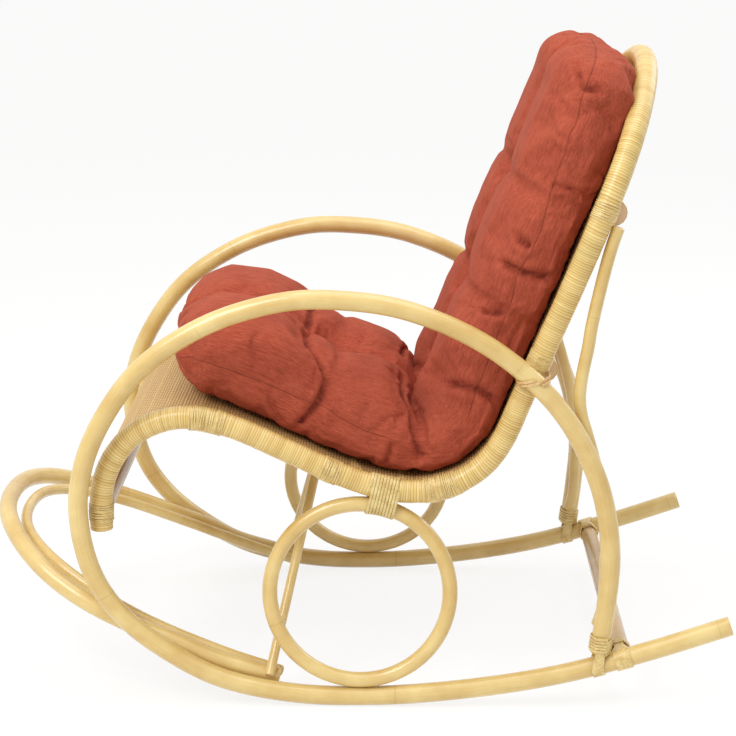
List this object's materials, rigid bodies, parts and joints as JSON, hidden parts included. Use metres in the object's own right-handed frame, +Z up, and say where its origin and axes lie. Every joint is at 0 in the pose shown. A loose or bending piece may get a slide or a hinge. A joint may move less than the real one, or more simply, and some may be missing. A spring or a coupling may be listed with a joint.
{
  "type": "rocking chair",
  "caption": "Bent rattan rocking chair: hoop armrests run on into the floor runners, rings brace the woven curved seat, a loose tufted pad covers seat and back.",
  "frame": {"origin": "on the floor, at the middle of the chair's outer box; +X is the sitter's left", "axes": "+X towards the sitter's left, -Y the way the sitter faces, +Z up; the chair is the same on both sides of X = 0"},
  "size_m": [0.6012, 1.103, 0.937],
  "materials": {
    "lacquered_rattan": "bent pole, peeled smooth and clear lacquered, semi-gloss",
    "shaded_rattan": "straight pole under the seat and behind the back, lacquered, darker",
    "rattan_peel": "flat peel strip wound side by side, satin",
    "woven_cane": "close woven core cane with ribs across the seat, matt",
    "chenille": "terracotta chenille with a fine lengthwise slub"
  },
  "bodies": {
    "chair": {"hoop_runner_left": "lacquered_rattan", "hoop_runner_right": "lacquered_rattan", "ring_left": "lacquered_rattan", "ring_right": "lacquered_rattan", "front_strut_left": "lacquered_rattan", "front_strut_right": "lacquered_rattan", "rear_strut_left": "lacquered_rattan", "rear_strut_right": "lacquered_rattan", "ring_tie_left": "rattan_peel", "ring_tie_right": "rattan_peel", "arm_lashing_left": "rattan_peel", "arm_lashing_right": "rattan_peel", "hoop_foot_sling_left": "rattan_peel", "hoop_foot_sling_right": "rattan_peel", "hoop_foot_collar_left": "rattan_peel", "hoop_foot_collar_right": "rattan_peel", "stretcher_sling_left": "rattan_peel", "stretcher_sling_right": "rattan_peel", "stretcher_collar_left": "rattan_peel", "stretcher_collar_right": "rattan_peel", "shell_frame_pole": "rattan_peel", "front_bow_outer": "lacquered_rattan", "front_bow_inner": "lacquered_rattan", "front_cross_bar": "shaded_rattan", "seat_bar_front": "shaded_rattan", "seat_bar_middle": "shaded_rattan", "seat_bar_rear": "shaded_rattan", "back_bar_lower": "shaded_rattan", "back_bar_upper": "shaded_rattan", "rear_stretcher": "shaded_rattan", "woven_panel": "woven_cane"},
    "pad": {"tufted_pad": "chenille"}
  },
  "joints": [
    {"name": "pad_lift", "type": "slide", "parent": "chair", "child": "pad", "axis": [0, 0, 1], "range_m": [0, 0.3]}
  ]
}
